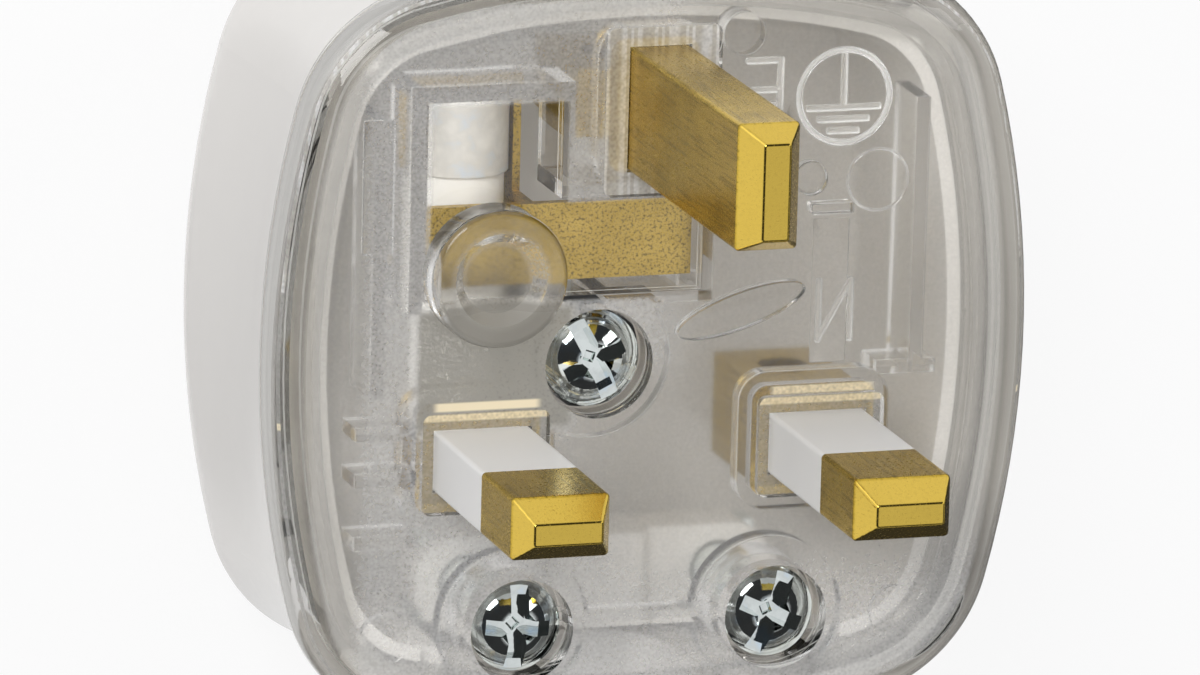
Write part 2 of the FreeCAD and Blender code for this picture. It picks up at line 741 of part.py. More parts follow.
def make_live_pin(name, x):
    """A line or neutral pin without its terminal: shank, slim root for the sleeve, and collar."""
    body = new_body(name, (x, PIN_ROW, FACE))
    slim = d.sleeve_wall * 2
    root = COLLAR_DEPTH + d.sleeve_length
    box_pad(body, f"{name}_root", d.live_width - slim, d.live_thickness - slim, root,
            (0, 0, -COLLAR_DEPTH), False)
    box_pad(body, f"{name}_shank", d.live_width, d.live_thickness,
            d.live_length - d.tip_length - d.sleeve_length, (0, 0, d.sleeve_length), False)
    start, end = tip_sketches(body, name, d.live_width, d.live_thickness, d.live_length)
    draw_rectangle(end, d.live_width - d.tip_side_cut * 2, d.live_thickness - d.tip_face_cut * 2)
    loft(body, f"{name}_tip", [start, end], True)
    shank_start = d.sleeve_length
    round_edges(body, f"{name}_edges", lambda edge: edge.BoundBox.ZMin > shank_start.value - 1e-4
                and not lies_at(edge, shank_start), d.pin_edge_round)
    collar = new_sketch(body, f"{name}_collar_outline", (0, 0, -COLLAR_DEPTH))
    draw_rounded(collar, d.live_collar_width, d.live_collar_height, d.collar_corner)
    pad(body, f"{name}_collar", collar, d.collar_thickness, True)
    return body


def add_terminal(body, name, width, height, shift, hole_along):
    """A terminal block behind a collar, with its cross hole for the wire and its screw hole."""
    start = -(COLLAR_DEPTH + d.collar_thickness)
    length = d.terminal_end_depth - COLLAR_DEPTH - d.collar_thickness
    box_pad(body, f"{name}_block", width, height, length, (shift, 0, start))
    add_terminal_holes(body, name, width, height, shift, 0, hole_along)


def add_terminal_holes(body, name, width, height, x, y, hole_along):
    across = height if hole_along == "XZ_Plane" else width
    if hole_along == "XZ_Plane":
        at = (x, -d.terminal_hole_depth, -(y + across / 2))
    else:
        at = (y, -d.terminal_hole_depth, x + across / 2)
    round_pocket(body, f"{name}_wire_hole", d.terminal_hole_diameter, across, at,
                 hole_along == "XZ_Plane", hole_along)
    round_pocket(body, f"{name}_screw_hole", d.terminal_screw_diameter,
                 d.terminal_end_depth - d.terminal_hole_depth, (x, y, -d.terminal_end_depth), True)


def make_neutral_pin():
    body = make_live_pin("neutral_pin", NEUTRAL_X)
    add_terminal(body, "neutral", d.neutral_terminal_size, d.neutral_terminal_size, ZERO, "XZ_Plane")
    return body


def make_line_pin():
    return make_live_pin("line_pin", LINE_X)


def make_earth_pin():
    body = new_body("earth_pin", (0, EARTH_Y, FACE))
    box_pad(body, "earth_shank", d.earth_thickness, d.earth_height,
            d.earth_length - d.tip_length + COLLAR_DEPTH, (0, 0, -COLLAR_DEPTH), False)
    start, end = tip_sketches(body, "earth", d.earth_thickness, d.earth_height, d.earth_length)
    draw_rectangle(end, d.earth_thickness - d.earth_tip_cut * 2, d.earth_height - d.tip_side_cut * 2)
    loft(body, "earth_tip", [start, end], True)
    foot = -COLLAR_DEPTH
    round_edges(body, "earth_edges", lambda edge: not lies_at(edge, foot), d.pin_edge_round)
    collar = new_sketch(body, "earth_collar_outline", (0, 0, -COLLAR_DEPTH))
    draw_rounded(collar, d.earth_collar_width, d.earth_collar_height, d.collar_corner)
    pad(body, "earth_collar", collar, d.collar_thickness, True)
    add_terminal(body, "earth", d.earth_terminal_width, d.earth_terminal_height,
                 -d.earth_terminal_shift, "XZ_Plane")
    return body


def make_sleeve(name, x):
    """The white sleeve round the slim root of a live pin, from the collar to its full end."""
    body = new_body(name, (x, PIN_ROW, FACE - COLLAR_DEPTH))
    slim = d.sleeve_wall * 2
    length = COLLAR_DEPTH + d.sleeve_length
    box_pad(body, f"{name}_outside", d.live_width, d.live_thickness, length, (0, 0, 0), False)
    round_edges(body, f"{name}_edges", lambda edge: edge.BoundBox.ZLength > 1.0, d.pin_edge_round)
    box_pocket(body, f"{name}_inside", d.live_width - slim, d.live_thickness - slim, length,
               (0, 0, length))
    return body


# The fuse, which lies along Y behind the window
def make_fuse():
    fuse = (LINE_X, FUSE_Y, FUSE_Z)
    half = d.fuse_length / 2
    barrel = new_body("fuse_barrel", fuse)
    inner_length = d.fuse_length - d.fuse_cap_wall * 2
    tube = new_sketch(barrel, "barrel_circle", (0, 0, -(inner_length / 2)), "XZ_Plane")
    draw_circle(tube, d.fuse_diameter - d.fuse_cap_wall * 2)
    pad(barrel, "barrel", tube, inner_length)
    round_pocket(barrel, "barrel_bore", d.fuse_bore, inner_length,
                 (0, 0, -(inner_length / 2)), True, "XZ_Plane")
    for name, side in (("upper", -1.0), ("lower", 1.0)):
        cap = new_body(f"fuse_cap_{name}", fuse)
        shell = new_sketch(cap, f"cap_{name}_circle", (0, 0, half * side), "XZ_Plane")
        draw_circle(shell, d.fuse_diameter)
        pad(cap, f"cap_{name}_shell", shell, d.fuse_cap_length, side > 0)
        round_edges(cap, f"cap_{name}_rounding", lambda edge: abs(abs(edge.BoundBox.YMin)
                    - half.value) < 1e-4 and edge.BoundBox.YLength < 1e-4, d.fuse_cap_wall)
        seat = d.fuse_cap_length - d.fuse_cap_wall
        round_pocket(cap, f"cap_{name}_inside", d.fuse_diameter - d.fuse_cap_wall * 2, seat,
                     (0, 0, (half - d.fuse_cap_length) * side), side > 0, "XZ_Plane")
    wire = new_body("fuse_element", fuse)
    strand = new_sketch(wire, "wire_circle", (0, 0, -(inner_length / 2)), "XZ_Plane")
    draw_circle(strand, d.fuse_wire)
    pad(wire, "wire", strand, inner_length)


def make_line_fuse_clip():
    """The brass clip on the line pin: a ring open at the back, on a flat foot."""
    reach = FUSE_Y - PIN_ROW - d.fuse_length / 2 + d.clip_length
    body = new_body("line_fuse_clip", (LINE_X, PIN_ROW + reach, FUSE_Z))
    bore = d.fuse_diameter + d.clip_gap * 2
    outer = bore + d.clip_sheet * 2
    foot_rise = d.fuse_axis_depth - COLLAR_DEPTH - d.collar_thickness
    ring = new_sketch(body, "clip_ring_circle", (0, 0, 0), "XZ_Plane")
    draw_circle(ring, outer)
    pad(body, "clip_ring", ring, d.clip_length)
    foot = new_sketch(body, "clip_foot_outline", (0, foot_rise / 2, 0), "XZ_Plane")
    draw_rectangle(foot, outer * 0.7, foot_rise)
    pad(body, "clip_foot", foot, d.clip_length)
    round_pocket(body, "clip_bore", bore, d.clip_length, (0, 0, 0), True, "XZ_Plane")
    box_pocket(body, "clip_mouth", d.clip_mouth, outer / 2, d.clip_length,
               (0, -(outer / 4), 0), True, "XZ_Plane")
    return body


def make_line_strap():
    """The folded strip: arms that grip the upper cap, their bridge, a leg, and the flat strip."""
    body = new_body("line_terminal_strap", (0, 0, FACE))
    sheet = d.clip_sheet
    inner = d.fuse_diameter / 2 + d.clip_gap
    left = LINE_X - inner - sheet
    right = LINE_X + inner
    top = FUSE_Y + d.fuse_length / 2
    bottom = STRAP_Y - d.strap_width / 2
    flat = d.strap_reach - left
    box_pad(body, "strap_flat", flat, d.strap_width, d.strap_sheet,
            (left + flat / 2, STRAP_Y, -d.strap_depth))
    leg = d.strap_arm_depth - d.strap_depth
    box_pad(body, "strap_leg", sheet, d.strap_width, leg, (right + sheet / 2, STRAP_Y, -d.strap_depth))
    arm = d.strap_arm_depth - d.strap_arm_start
    width = right + sheet - left
    box_pad(body, "strap_bridge", width, sheet, arm,
            (left + width / 2, top + sheet / 2, -d.strap_arm_start))
    box_pad(body, "strap_arm_left", sheet, d.strap_arm_length + sheet, arm,
            (left + sheet / 2, top + (sheet - d.strap_arm_length) / 2, -d.strap_arm_start))
    box_pad(body, "strap_arm_right", sheet, top + sheet - bottom, arm,
            (right + sheet / 2, (top + sheet + bottom) / 2, -d.strap_arm_start))
    return body


def make_line_terminal():
    body = new_body("line_terminal_block", (0, STRAP_Y, FACE))
    x = d.strap_reach - d.line_terminal_width / 2
    start = d.strap_depth + d.strap_sheet
    box_pad(body, "line_block", d.line_terminal_width, d.strap_width, d.terminal_end_depth - start,
            (x, 0, -start))
    add_terminal_holes(body, "line_block", d.line_terminal_width, d.strap_width, x, ZERO, "XZ_Plane")
    return body


# Screws, nuts, insert and washer
def make_screw(name, seat, diameter, head_diameter, head_height, length, rotation):
    """A turned screw whose head seats at a place: its own frame starts at the tip."""
    x, y, z = seat
    body = new_body(name, (x, y, z), rotation)
    cut = d.screw_tip_cut
    profile = new_sketch(body, f"{name}_profile", (0, 0, 0), "XZ_Plane")
    total = length + head_height
    draw_polygon(profile, [(ZERO, ZERO), (diameter / 2 - cut, ZERO), (diameter / 2, cut),
                           (diameter / 2, length), (head_diameter / 2, length),
                           (head_diameter / 2, total), (ZERO, total)])
    turn_profile(body, f"{name}_turning", profile)
    return body


def make_case_screw(name, x, y, head, length, turn):
    """A pan head screw with a slot and a cross recess, turned to where it was left."""
    rotation = Rotation(Vector(0, 0, 1), turn.value)
    body = make_screw(name, (x, y, SCREW_SEAT - length), d.screw_diameter, head,
                      d.screw_head_height, length, rotation)
    top = length + d.screw_head_height
    round_edges(body, f"{name}_rounding", lambda edge: lies_at(edge, top), d.screw_head_round)
    box_pocket(body, f"{name}_slot", d.screw_slot_width, head, d.screw_slot_depth, (0, 0, top))
    for direction, width, height in (("along", d.screw_cross_width, d.screw_cross_span),
                                     ("across", d.screw_cross_span, d.screw_cross_width)):
        box_pocket(body, f"{name}_cross_{direction}", width, height, d.screw_cross_depth, (0, 0, top))
    return body


def make_terminal_screw(name, x, y):
    """A slotted screw driven into a terminal block from the back."""
    length = d.terminal_end_depth - d.terminal_hole_depth - d.terminal_hole_diameter / 2
    upside_down = Rotation(Vector(1, 0, 0), 180)
    seat = FACE - d.terminal_end_depth
    body = make_screw(name, (x, y, seat + length), d.terminal_screw_diameter,
                      d.terminal_head_diameter, d.terminal_head_height, length, upside_down)
    top = length + d.terminal_head_height
    round_edges(body, f"{name}_rounding", lambda edge: lies_at(edge, top), d.terminal_head_round)
    box_pocket(body, f"{name}_slot", d.terminal_slot_width, d.terminal_head_diameter,
               d.terminal_slot_depth, (0, 0, top))
    return body


def make_cover_fastening():
    x, y = COVER_SCREW
    insert = new_body("cover_screw_insert", (x, y, COLUMN_TOP))
    round_pad(insert, "insert_outside", d.insert_diameter, d.insert_length, (0, 0, 0))
    round_pocket(insert, "insert_thread", d.screw_diameter, d.insert_length, (0, 0, 0))
    washer = new_body("cover_screw_retainer", (x, y, TUBE_END))
    round_pad(washer, "washer_outside", d.washer_diameter, d.washer_thickness, (0, 0, 0))
    round_pocket(washer, "washer_hole", d.screw_diameter, d.washer_thickness, (0, 0, 0))


def make_cord_clamp():
    """The bar that the two clamp screws pull up against the cord, and its nuts."""
    front = FACE - d.clamp_bar_depth
    bar = new_body("cord_clamp_bar", (0, CLAMP_Y, front))
    outline = new_sketch(bar, "bar_outline")
    draw_rounded(outline, d.clamp_bar_width, d.clamp_bar_height, d.clamp_bar_corner)
    pad(bar, "bar", outline, d.clamp_bar_thickness, True)
    box_pad(bar, "saddle", d.clamp_saddle_width, d.clamp_bar_height, d.clamp_saddle_rise,
            (0, 0, 0), False)
    round_edges(bar, "saddle_rounding", lambda edge: lies_at(edge, d.clamp_saddle_rise)
                and edge.BoundBox.YLength > 1.0, d.clamp_saddle_round)
    hole = d.screw_diameter + d.screw_hole_gap * 2
    nut_start = -d.clamp_bar_thickness
    for name, x in (("left", -CLAMP_X), ("right", CLAMP_X)):
        round_pocket(bar, f"bar_hole_{name}", hole, d.clamp_bar_thickness, (x, 0, 0))
        box_pocket(bar, f"nut_seat_{name}", d.clamp_nut_size, d.clamp_nut_size,
                   d.clamp_nut_thickness, (x, 0, nut_start), True)
        nut = new_body(f"cord_clamp_nut_{name}", (x, CLAMP_Y, front - d.clamp_bar_thickness))
        box_pad(nut, f"nut_{name}", d.clamp_nut_size, d.clamp_nut_size, d.clamp_nut_thickness,
                (0, 0, 0), False)
        round_pocket(nut, f"nut_thread_{name}", d.screw_diameter, d.clamp_nut_thickness,
                     (0, 0, d.clamp_nut_thickness))


def check_and_export():
    """Every feature has to be sound before any shape is written."""
    document.recompute()
    for item in document.Objects:
        if "Invalid" in item.State or "Error" in item.State:
            raise ValueError(f"{item.Label} failed: {item.State}")
    for body in document.Objects:
        if body.TypeId != "PartDesign::Body":
            continue
        shape = body.Shape
        if shape.isNull() or not shape.isValid() or not shape.Solids:
            raise ValueError(f"{body.Label} has no sound shape")
        shape.exportStep(os.path.join("parts", f"{body.Label}.step"))
        print(f"{body.Label}: {len(shape.Solids)} solid, {shape.Volume:.1f} mm3")


make_front_base()
make_rear_cover()
make_earth_pin()
make_neutral_pin()
make_line_pin()
make_sleeve("neutral_pin_sleeve", NEUTRAL_X)
make_sleeve("line_pin_sleeve", LINE_X)
make_fuse()
make_line_fuse_clip()
make_line_strap()
make_line_terminal()
make_case_screw("cover_screw", COVER_SCREW[0], COVER_SCREW[1], d.cover_head_diameter,
                COVER_SCREW_LENGTH, d.cover_screw_turn)
make_case_screw("cord_clamp_screw_left", -CLAMP_X, CLAMP_Y, d.clamp_head_diameter,
                CLAMP_SCREW_LENGTH, d.clamp_left_turn)
make_case_screw("cord_clamp_screw_right", CLAMP_X, CLAMP_Y, d.clamp_head_diameter,
                CLAMP_SCREW_LENGTH, d.clamp_right_turn)
make_terminal_screw("neutral_terminal_screw", NEUTRAL_X, PIN_ROW)
make_terminal_screw("earth_terminal_screw", -d.earth_terminal_shift, EARTH_Y)
make_terminal_screw("line_terminal_screw", d.strap_reach - d.line_terminal_width / 2, STRAP_Y)
make_cover_fastening()
make_cord_clamp()
check_and_export()
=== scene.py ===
import math

import bpy
from mathutils import Matrix, Vector


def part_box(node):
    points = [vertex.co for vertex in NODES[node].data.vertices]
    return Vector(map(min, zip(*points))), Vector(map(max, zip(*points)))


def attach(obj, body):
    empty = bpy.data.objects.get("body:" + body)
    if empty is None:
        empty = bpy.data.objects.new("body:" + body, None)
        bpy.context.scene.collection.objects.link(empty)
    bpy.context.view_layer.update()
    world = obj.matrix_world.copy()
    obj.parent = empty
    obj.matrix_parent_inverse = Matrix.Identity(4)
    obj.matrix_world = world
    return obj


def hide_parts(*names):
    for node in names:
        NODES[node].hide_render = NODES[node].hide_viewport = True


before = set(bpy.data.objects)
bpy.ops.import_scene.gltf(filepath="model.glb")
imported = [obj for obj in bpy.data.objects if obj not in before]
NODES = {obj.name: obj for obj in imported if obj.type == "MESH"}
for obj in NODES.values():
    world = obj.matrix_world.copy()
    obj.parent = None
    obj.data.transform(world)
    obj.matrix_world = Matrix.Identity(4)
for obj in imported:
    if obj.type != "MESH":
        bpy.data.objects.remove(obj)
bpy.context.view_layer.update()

MM = 0.001

# Places that the finishes line up with, in millimetres in the part's own frame
FACE = 25.5
PLATE_BACK = 23.0
PARTING = 20.0
FRAME_FLOOR = 24.7
FLAT_FACE = (22.6, 23.1)
PIN_ROW = -6.5
PIN_SIDE = 11.115

# How far over the face the tips of the pins begin, with their polish and painted highlight
LIVE_POLISH_AND_SHEEN = 15.95
EARTH_POLISH_AND_SHEEN = 20.95

# The parts of the window, and the screen before the fuse: left, right, bottom, top
WINDOW_ARM = (-15.05, -6.2, 3.8, 16.6)
WINDOW_STRIP = (-15.05, 3.2, 3.8, 10.1)
FUSE_SCREEN = (-15.9, -5.5, -4.5, 3.6)

# The button over the line pin: its centre, radius and least rise, its ring, and its part with
# painted shade
BUTTON = (-PIN_SIDE, 5.9)
BUTTON_RADIUS = 4.2
BUTTON_RISE = 0.3
BUTTON_RING = (2.1, 3.2)
BUTTON_SHADE = 4.5

# Painted reflections of brass, as bright streaks over the line and neutral pins: heights over the
# pins' row, and half a width
FLOOR_PAINTED_STREAK = (2.6, 3.05)
FACE_PAINTED_STREAK = (3.45, 4.0)
PAINTED_STREAK_SIDE = 3.4

# Between the frames of the lower pins and the frame of the earth pin
FRAMES_PARTED = 5.0

# Painted light: the frosting is paler left of one place, under another, and in a patch over the
# middle, but not at the left end
PAINTED_LIGHT_LEFT, PAINTED_LIGHT_LOW = -5.0, -13.0
PAINTED_LIGHT_PATCH = (1.5, -1.5)
LEFT_END = -19.3

# The outline: half its width and height, the radius of its bowed sides, and its corners
HALF_WIDTH, HALF_HEIGHT = 25.3, 25.8
SIDE_BOW = 65.0
CORNER = 4.8

# The rim with painted shades: how far it reaches inwards, where its shades start, and how much they
# span
RIM_WIDTH = 4.5
RIM_START, RIM_SPAN = 1.0, 6.0
RIM_SIDE = 0.8

# Painted shades that stand in for what is seen through the rim: places inwards from the outline,
# and up its side, from 0 to 1
RIM_PAINTED_BANDS = [(0.0, 0.45), (0.05, 0.74), (0.14, 0.86), (0.24, 0.74), (0.3, 0.6), (0.35, 0.8),
             (0.44, 0.74), (0.5, 0.45), (0.54, 0.8), (0.64, 0.74), (0.72, 0.62), (0.78, 0.76),
             (1.0, 0.82)]
SIDE_PAINTED_BANDS = [(0.0, 0.5), (0.09, 0.4), (0.14, 0.74), (0.36, 0.7), (0.44, 0.45), (0.5, 0.68),
              (0.66, 0.78), (0.74, 0.6), (0.8, 0.85), (0.93, 0.95)]
RIM_TINT = (0.97, 0.955, 0.92)
CLEAR = (0.965, 0.955, 0.935, 1.0)

# The shades of the brass, each a mix of patches, and of the polished tips, whose paler colour is a
# painted highlight
PALE_BRASS, DEEP_BRASS = (0.68, 0.475, 0.075), (0.56, 0.38, 0.045)
PALE_STRIP, DEEP_STRIP = (0.58, 0.40, 0.078), (0.46, 0.31, 0.045)
TIP_BRASS_SHEEN = (0.75, 0.53, 0.10, 1.0)

# The studio: the level of its light, and what polished surfaces and clear plastic see least
PLAIN_LEVEL = 0.52
MIRRORED_LEAST = 0.03
REFRACTED_LEAST = 0.05
FLOOR_GLOW = 0.87

# The camera, fitted to the pins in the photo: its place and lens, and its right and up
CAMERA_PLACE = (-0.209882, 0.170040, 0.669596)
CAMERA_LENS = 332.0
CAMERA_RIGHT = (0.954061, 0.025811, 0.2985)
CAMERA_UP = (0.048423, 0.969901, -0.238637)

# The case screws: how far each was turned, in degrees, and the radius of the head's dome
SCREW_TURNS = {"cover_screw": 26.0, "cord_clamp_screw_left": -3.5, "cord_clamp_screw_right": -23.0}
DOME = 4.6

# Low details moulded on the back of the clear face, in millimetres
SINK = 0.1
EDGE_ROUNDING = 0.12
MARK_HEIGHT = 0.35
MARK_ROOT = 0.16
STROKE = 0.42
EARTH_SIGN = (12.5, 15.8)
EARTH_RING = 3.0
EARTH_STROKES = [((0.0, 2.6), (0.0, -0.55)), ((-2.3, -0.75), (2.3, -0.75)),
                 ((-1.55, -1.5), (1.55, -1.5)), ((-0.9, -2.25), (0.9, -2.25))]
LETTER_SIZE = (2.1, 3.8)
NEUTRAL_LETTER = (12.3, 1.9)
EARTH_LETTER = (7.2, 16.4)
MOULD_CIRCLE = (14.9, 10.3)
PEG = (10.5, 10.5)
LEAF = (6.1, 2.1)
PANELS = [(-18.0, 11.2, 2.0, 8.6, 0.5), (-11.6, -1.5, 7.0, 1.6, 0.5),
          (12.0, 8.5, 2.8, 0.7, 1.2), (11.9, 3.2, 2.4, 9.4, 0.12)]


class Value:
    """One output of a set of nodes. Sums and products of values add their own nodes."""

    def __init__(self, nodes, socket):
        self.nodes = nodes
        self.socket = socket

    def math(self, operation, *others):
        return self.nodes.add("ShaderNodeMath", [self, *others], operation=operation)

    def __add__(self, other):
        return self.math("ADD", other)

    def __sub__(self, other):
        return self.math("SUBTRACT", other)

    def __rsub__(self, other):
        return self.nodes.add("ShaderNodeMath", [other, self], operation="SUBTRACT")

    def __mul__(self, other):
        return self.math("MULTIPLY", other)

    def __truediv__(self, other):
        return self.math("DIVIDE", other)

    def __pow__(self, other):
        return self.math("POWER", other)

    def __abs__(self):
        return self.math("ABSOLUTE")

    __radd__ = __add__

    def above(self, level, blur=0.02):
        """1 where this is over the level and 0 under it, with a soft step."""
        return self.nodes.add("ShaderNodeMapRange", {"Value": self, "From Min": level - blur,
                              "From Max": level + blur}, interpolation_type="SMOOTHSTEP")

    def below(self, level, blur=0.02):
        return 1 - self.above(level, blur)


class Nodes:
    """The nodes of a material or of the world, written as expressions."""

    def __init__(self, owner):
        owner.use_nodes = True
        self.tree = owner.node_tree
        self.tree.nodes.clear()

    def add(self, kind, inputs=(), out=0, **settings):
        """Any node: its settings first, then the values or links of its sockets."""
        node = self.tree.nodes.new(kind)
        for name, setting in settings.items():
            setattr(node, name, setting)
        pairs = inputs.items() if isinstance(inputs, dict) else enumerate(inputs)
        for name, value in pairs:
            if isinstance(value, Value):
                self.tree.links.new(value.socket, node.inputs[name])
            else:
                node.inputs[name].default_value = value
        return Value(self, node.outputs[out])

    def outputs(self, kind, *names):
        """Several outputs of one node."""
        node = self.add(kind).socket.node
        return [Value(self, node.outputs[name]) for name in names]

    def axes(self, vector):
        node = self.add("ShaderNodeSeparateXYZ", [vector]).socket.node
        return [Value(self, node.outputs[axis]) for axis in range(3)]

    def end(self, shader, kind="ShaderNodeOutputMaterial"):
        output = self.tree.nodes.new(kind)
        self.tree.links.new(shader.socket, output.inputs["Surface"])


class Finish(Nodes):
    """A material, with the textures that the finishes share."""

    def __init__(self, name):
        self.material = bpy.data.materials.new(name)
        super().__init__(self.material)

    def place(self):
        """The three object coordinates, in millimetres."""
        return [axis * 1000.0 for axis in self.axes(self.add("ShaderNodeTexCoord", out="Object"))]

    def noise(self, scale, detail=3.0, roughness=0.5, stretch=(1, 1, 1)):
        """Noise with its size given per metre, stretched along an axis."""
        position = self.add("ShaderNodeTexCoord", out="Object")
        mapped = self.add("ShaderNodeMapping", {"Vector": position, "Scale": stretch})
        return self.add("ShaderNodeTexNoise", {"Vector": mapped, "Scale": scale, "Detail": detail,
                        "Roughness": roughness})

    def ramp(self, value, stops):
        """A value turned into a colour by stops of (place, colour)."""
        result = self.add("ShaderNodeValToRGB", [value])
        elements = result.socket.node.color_ramp.elements
        while len(elements) < len(stops):
            elements.new(0.5)
        for element, (place, colour) in zip(elements, stops):
            element.position = place
            element.color = (*colour, 1.0)
        return result

    def blend(self, factor, first, second):
        """Two colours mixed by a factor."""
        return self.add("ShaderNodeMix", {0: factor, 6: first, 7: second}, out=2, data_type="RGBA")

    def bump(self, height, strength, distance=0.0001, normal=None):
        sockets = {"Height": height, "Strength": strength, "Distance": distance}
        if normal is not None:
            sockets["Normal"] = normal
        return self.add("ShaderNodeBump", sockets)

    def surface(self, **sockets):
        """The shader itself: socket names are written with underscores for spaces."""
        inputs = {name.replace("_", " "): value for name, value in sockets.items()}
        return self.add("ShaderNodeBsdfPrincipled", inputs)

    def end(self, shader):
        super().end(shader)
        return self.material


def between(value, low, high, blur):
    """1 where a value lies between two levels."""
    return value.above(low, blur) * value.below(high, blur)


def box_mask(x, y, box, blur=0.15):
    """1 inside an upright rectangle of the face."""
    left, right, bottom, top = box
    return between(x, left, right, blur) * between(y, bottom, top, blur)


def inwards(x, y):
    """How far a place lies inwards from the plug's outline."""
    across = (abs(x) + y * y / (2 * SIDE_BOW) - HALF_WIDTH + CORNER).math("MAXIMUM", 0.0)
    upward = (abs(y) + x * x / (2 * SIDE_BOW) - HALF_HEIGHT + CORNER).math("MAXIMUM", 0.0)
    return CORNER - (across * across + upward * upward) ** 0.5


def painted_bands(finish, value, stops):
    """Painted shades of the rim's colour, by places from 0 to 1."""
    return finish.ramp(value, [(place, [shade * c for c in RIM_TINT]) for place, shade in stops])


def rim_painted_shades(finish, x, y, z):
    """The colour of the clear plastic, with painted shades on its rim that stand in for what the
    rim refracts.
    """
    inset = inwards(x, y)
    rim = painted_bands(finish, (inset + RIM_START) / RIM_SPAN, RIM_PAINTED_BANDS)
    side = painted_bands(finish, (z - PARTING) / (FACE - PARTING), SIDE_PAINTED_BANDS)
    rim = finish.blend(z.below(FACE - RIM_SIDE, 0.3), rim, side)
    return finish.blend(inset.below(RIM_WIDTH, 0.25), CLEAR, rim)


def clear_plastic():
    """Clear moulded plastic, finely frosted on the flat of its face outside the window."""
    finish = Finish("clear_plastic")
    x, y, z = finish.place()
    body = rim_painted_shades(finish, x, y, z)

    # where the face is frosted, and the sunk floors of the pins' frames
    screen = box_mask(x, y, FUSE_SCREEN, 0.5)
    flat = (z.above(FACE - 0.1, 0.05) * abs(x).below(FLAT_FACE[0], 0.3)
            * abs(y).below(FLAT_FACE[1], 0.3))
    frosted = flat * (1 - box_mask(x, y, WINDOW_ARM)) * (1 - box_mask(x, y, WINDOW_STRIP))
    sunk = between(z, FRAME_FLOOR - 0.1, FRAME_FLOOR + 0.1, 0.02)
    # painted light: where the frosting is painted paler
    pale = (x.below(PAINTED_LIGHT_LEFT, 6.0) + y.below(PAINTED_LIGHT_LOW, 5.0)
            + x.below(PAINTED_LIGHT_PATCH[0], 3.0) * y.above(PAINTED_LIGHT_PATCH[1], 1.5))
    pale = frosted * pale.math("MINIMUM", 1.1) * (1 - x.below(LEFT_END, 1.0) * 0.6)

    # painted reflections of brass as bright streaks over the pins, painted pale waves, and the
    # roots of the raised marks, where highlights are painted
    glow = between(y, PIN_ROW + FLOOR_PAINTED_STREAK[0], PIN_ROW + FLOOR_PAINTED_STREAK[1], 0.08)
    painted_streak = (frosted * abs(abs(x) - PIN_SIDE).below(PAINTED_STREAK_SIDE, 0.3)
              * between(y, PIN_ROW + FACE_PAINTED_STREAK[0], PIN_ROW + FACE_PAINTED_STREAK[1], 0.08))
    painted_waves = (x * 9.0 + (x * 3.3).math("SINE") * 2.0).math("SINE").above(0.2, 0.6)
    root = between(z, PLATE_BACK - MARK_HEIGHT, PLATE_BACK - MARK_ROOT, 0.03)

    # the button, its ring and its lower part, where shade is painted
    away = ((x - BUTTON[0]) ** 2 + (y - BUTTON[1]) ** 2) ** 0.5
    button = away.below(BUTTON_RADIUS, 0.15) * z.above(FACE + BUTTON_RISE, 0.05)
    dimple = button * away.above(BUTTON_RING[0], 0.3) * away.below(BUTTON_RING[1], 0.25)
    lower = button * y.below(BUTTON_SHADE, 0.4)

    # the haze is painted a grey beige: painted shade of the dim inside seen through the frost
    tint = (0.66, 0.63, 0.575, 1.0)
    for mask, colour in (
            # painted light: paler frosting in broad places
            (pale, (0.86, 0.855, 0.85, 1.0)),
            # painted shade: the frost before the fuse is dark grey, where the fuse lies in shade
            (screen * frosted, (0.34, 0.325, 0.29, 1.0)),
            # painted shade on the sunk floors of the line and neutral pins' frames
            (sunk * y.below(FRAMES_PARTED), (0.42, 0.41, 0.39, 1.0)),
            # painted reflections of brass: bright streaks over the line and neutral pins
            ((glow * sunk).math("MAXIMUM", painted_streak), (1.0, 0.87, 0.62, 1.0)),
            # painted light: pale waves on the floor of the earth pin's frame
            (sunk * painted_waves * y.above(FRAMES_PARTED), (0.95, 0.94, 0.93, 1.0)),
            # painted shade on the lower part of the button
            (lower, (0.27, 0.255, 0.225, 1.0)),
            (dimple * (1 - lower * 0.9), (0.66, 0.64, 0.60, 1.0)),
            # painted highlights at the roots of the raised marks
            (root, (0.98, 0.98, 0.97, 1.0))):
        tint = finish.blend(mask, tint, colour)

    satin = (frosted + sunk).math("MINIMUM", 1.0)
    clear = finish.surface(Base_Color=body, Roughness=satin * 0.13 + button * 0.2 + 0.012, IOR=1.5,
                           Transmission_Weight=1.0)
    haze = finish.surface(Base_Color=tint, Roughness=0.5)
    grain = finish.noise(5200.0, 0.0)
    cloudy = frosted * (screen * 0.66 + 0.15) + pale * 0.15 + sunk * (0.5 + glow * 0.2)
    cloudy = cloudy + button * 0.12 + dimple * 0.22 + lower * 0.85 + painted_streak * 0.6
    veil = (cloudy * (grain * 0.7 + 0.65) + root * 0.55).math("MINIMUM", 0.95)
    seen = finish.add("ShaderNodeMixShader", [veil, clear, haze])

    # shadow rays pass through, so that the lamps light what is inside
    open_shade = finish.add("ShaderNodeBsdfTransparent", {"Color": (0.985, 0.985, 0.98, 1.0)})
    shadow = finish.add("ShaderNodeLightPath", out="Is Shadow Ray")
    return finish.end(finish.add("ShaderNodeMixShader", [shadow, seen, open_shade]))


